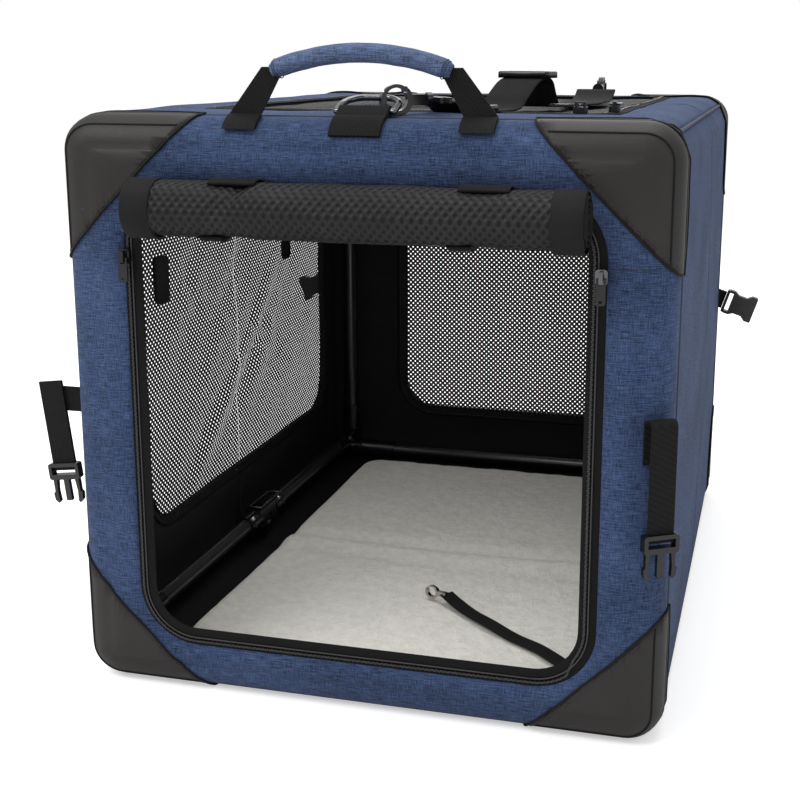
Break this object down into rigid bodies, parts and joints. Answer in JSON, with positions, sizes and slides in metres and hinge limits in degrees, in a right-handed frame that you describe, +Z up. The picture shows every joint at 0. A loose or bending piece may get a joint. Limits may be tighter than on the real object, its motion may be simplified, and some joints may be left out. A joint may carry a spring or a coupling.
{
  "type": "folding pet carrier",
  "caption": "Folding soft-sided pet carrier: padded fabric shell on a hinged tube frame, roll-up mesh door, zipped roof window, carry handle, shoulder strap and fleece pad.",
  "frame": {"origin": "the underside of the floor, midway between the side walls and between the end frames, where the carrier stands", "axes": "+Z up; -Y out of the doorway and +Y along the carrier's length to the rear window; +X to the right of someone facing the doorway"},
  "size_m": [0.5494, 0.6897, 0.5076],
  "materials": {
    "melange_fabric": "padded woven fabric, navy and black melange, black lining",
    "grip_fabric": "padded woven fabric sleeve with stitched ends",
    "black_mesh": "black knitted mesh with open holes",
    "corner_leatherette": "black coated fabric, fine grain, stitched and bound edge",
    "frame_tube": "satin black powder coat",
    "black_nylon": "moulded black nylon with steel rivets",
    "hook_plastic": "moulded black acetal",
    "black_webbing": "ribbed black webbing",
    "black_zip": "black coil zip and lacquered pullers",
    "pull_metal": "bright nickel plate",
    "cream_fleece": "short-pile cream fleece over foam",
    "ring_metal": "dark nickel plate",
    "tether_metal": "nickel plate",
    "lock_wire": "zinc-plated spring wire"
  },
  "bodies": {
    "rear_frame": {"rear_frame_tubes": "frame_tube", "rear_frame_elbows": "black_nylon", "rear_panel": "melange_fabric", "left_wall_rear": "melange_fabric", "right_wall_rear": "melange_fabric", "roof_rear": "melange_fabric", "floor_rear": "melange_fabric", "rear_half_screens": "black_mesh", "rear_corner_patches": "corner_leatherette", "rear_webbing_tabs": "black_webbing", "rear_side_straps": "black_webbing", "rear_buckles": "black_nylon", "shoulder_strap_rear": "black_webbing"},
    "front_frame": {"front_frame_tubes": "frame_tube", "front_frame_elbows": "black_nylon", "front_panel": "melange_fabric", "left_wall_front": "melange_fabric", "right_wall_front": "melange_fabric", "roof_front": "melange_fabric", "floor_front": "melange_fabric", "front_half_screens": "black_mesh", "front_corner_patches": "corner_leatherette", "front_webbing_tabs": "black_webbing", "door_zip": "black_zip", "rolled_door": "black_mesh", "door_roll_straps": "black_webbing", "front_side_straps": "black_webbing", "front_buckles": "black_nylon", "front_strap_hook": "hook_plastic", "shoulder_strap_front": "black_webbing"},
    "base_rear": {"base_rear_tubes": "frame_tube", "base_rear_knuckles": "black_nylon", "pad_rear": "cream_fleece"},
    "base_front": {"base_front_tubes": "frame_tube", "base_front_knuckles": "black_nylon", "pad_front": "cream_fleece", "tether_strap": "black_webbing"},
    "roof_arms_rear": {"roof_rear_tubes": "frame_tube", "roof_rear_knuckles": "black_nylon"},
    "roof_arms_front": {"roof_front_tubes": "frame_tube", "roof_front_knuckles": "black_nylon"},
    "handle": {"handle_legs": "black_webbing", "handle_grip": "grip_fabric"},
    "rear_hook": {"rear_strap_hook": "hook_plastic"},
    "front_ring": {"front_ring": "ring_metal"},
    "rear_ring": {"rear_ring": "ring_metal"},
    "front_hook_gate": {"front_hook_gate": "hook_plastic"},
    "rear_hook_gate": {"rear_hook_gate": "hook_plastic"},
    "tether_hook": {"tether_hook": "tether_metal"},
    "tether_trigger": {"tether_trigger": "tether_metal"},
    "left_door_slider": {"left_door_slider": "black_zip"},
    "left_door_pull": {"left_door_pull": "black_zip"},
    "right_door_slider": {"right_door_slider": "black_zip"},
    "right_door_pull": {"right_door_pull": "pull_metal"},
    "roof_side_slider": {"roof_side_slider": "black_zip"},
    "roof_side_pull": {"roof_side_pull": "black_zip"},
    "roof_front_slider": {"roof_front_slider": "black_zip"},
    "roof_front_pull": {"roof_front_pull": "black_zip"},
    "left_lock_clip": {"left_lock_clip": "lock_wire"},
    "right_lock_clip": {"right_lock_clip": "lock_wire"}
  },
  "joints": [
    {"name": "fold", "type": "hinge", "parent": "rear_frame", "child": "base_rear", "pos_m": [0, 0.278, 0.034], "axis": [-1, 0, 0], "range_deg": [0, 86], "deforming": ["left_wall_rear", "right_wall_rear", "roof_rear", "floor_rear", "rear_half_screens", "rear_corner_patches", "left_wall_front", "right_wall_front", "roof_front", "floor_front", "front_half_screens", "front_corner_patches", "pad_rear", "pad_front", "tether_strap", "shoulder_strap_rear", "shoulder_strap_front"]},
    {"name": "fold_knee", "type": "hinge", "parent": "base_rear", "child": "base_front", "pos_m": [0, 0, 0.024], "axis": [-1, 0, 0], "range_deg": [-172, 0]},
    {"name": "fold_front", "type": "hinge", "parent": "base_front", "child": "front_frame", "pos_m": [0, -0.278, 0.034], "axis": [-1, 0, 0], "range_deg": [0, 86]},
    {"name": "roof_fold", "type": "hinge", "parent": "rear_frame", "child": "roof_arms_rear", "pos_m": [0, 0.278, 0.421], "axis": [1, 0, 0], "range_deg": [0, 86]},
    {"name": "roof_knee", "type": "hinge", "parent": "roof_arms_rear", "child": "roof_arms_front", "pos_m": [0, 0, 0.431], "axis": [1, 0, 0], "range_deg": [-172, 0]},
    {"name": "handle_swing", "type": "hinge", "parent": "front_frame", "child": "handle", "pos_m": [0, -0.302, 0.45865], "axis": [1, 0, 0], "range_deg": [-35, 80]},
    {"name": "front_ring_swing", "type": "hinge", "parent": "front_frame", "child": "front_ring", "pos_m": [0, -0.292, 0.4596], "axis": [1, 0, 0], "range_deg": [-8, 4]},
    {"name": "rear_ring_swing", "type": "hinge", "parent": "rear_frame", "child": "rear_ring", "pos_m": [0, 0.292, 0.4596], "axis": [-1, 0, 0], "range_deg": [0, 150]},
    {"name": "front_gate", "type": "hinge", "parent": "front_frame", "child": "front_hook_gate", "pos_m": [0.02281, -0.26849, 0.47496], "axis": [0.5299, -0.848, 0], "range_deg": [0, 22], "stiffness_Nm_per_rad": 0.012},
    {"name": "rear_hook_swivel", "type": "hinge", "parent": "rear_frame", "child": "rear_hook", "pos_m": [0.11136, 0.1166, 0.4673], "axis": [0, 1, 0], "continuous": true},
    {"name": "rear_gate", "type": "hinge", "parent": "rear_hook", "child": "rear_hook_gate", "pos_m": [0.11136, 0.13417, 0.47496], "axis": [-1, 0, 0], "range_deg": [0, 22], "stiffness_Nm_per_rad": 0.012},
    {"name": "tether_swivel", "type": "hinge", "parent": "base_front", "child": "tether_hook", "pos_m": [0.03, -0.147, 0.02908], "axis": [0.9563, -0.2924, 0], "continuous": true},
    {"name": "tether_gate", "type": "hinge", "parent": "tether_hook", "child": "tether_trigger", "pos_m": [0.01442, -0.14224, 0.03322], "axis": [-0.2924, -0.9563, 0], "range_deg": [0, 22], "stiffness_Nm_per_rad": 0.004},
    {"name": "left_door_zip", "type": "slide", "parent": "front_frame", "child": "left_door_slider", "axis": [0, 0, -1], "range_m": [0, 0.255]},
    {"name": "left_door_pull_swing", "type": "hinge", "parent": "left_door_slider", "child": "left_door_pull", "pos_m": [-0.1787, -0.3291, 0.3511], "axis": [-1, 0, 0], "range_deg": [0, 95]},
    {"name": "right_door_zip", "type": "slide", "parent": "front_frame", "child": "right_door_slider", "axis": [0, 0, -1], "range_m": [0, 0.255]},
    {"name": "right_door_pull_swing", "type": "hinge", "parent": "right_door_slider", "child": "right_door_pull", "pos_m": [0.1787, -0.3291, 0.3511], "axis": [-1, 0, 0], "range_deg": [0, 95]},
    {"name": "roof_side_zip", "type": "slide", "parent": "front_frame", "child": "roof_side_slider", "axis": [0, 1, 0], "range_m": [0, 0.15]},
    {"name": "roof_side_pull_swing", "type": "hinge", "parent": "roof_side_slider", "child": "roof_side_pull", "pos_m": [0.165, -0.1751, 0.4625], "axis": [1, 0, 0], "range_deg": [0, 90]},
    {"name": "roof_front_zip", "type": "slide", "parent": "front_frame", "child": "roof_front_slider", "axis": [-1, 0, 0], "range_m": [0, 0.03]},
    {"name": "roof_front_pull_swing", "type": "hinge", "parent": "roof_front_slider", "child": "roof_front_pull", "pos_m": [0.1411, -0.2, 0.4625], "axis": [0, 1, 0], "range_deg": [0, 90]},
    {"name": "left_lock", "type": "hinge", "parent": "base_rear", "child": "left_lock_clip", "pos_m": [-0.2114, 0.036, 0.0455], "axis": [-1, 0, 0], "range_deg": [0, 20]},
    {"name": "right_lock", "type": "hinge", "parent": "base_rear", "child": "right_lock_clip", "pos_m": [0.2114, 0.036, 0.0455], "axis": [-1, 0, 0], "range_deg": [0, 20]}
  ],
  "couplings": [
    {"joint": "fold_knee", "follows": "fold", "ratio": -2},
    {"joint": "fold_front", "follows": "fold", "ratio": 1},
    {"joint": "roof_fold", "follows": "fold", "ratio": 1},
    {"joint": "roof_knee", "follows": "fold", "ratio": -2}
  ]
}
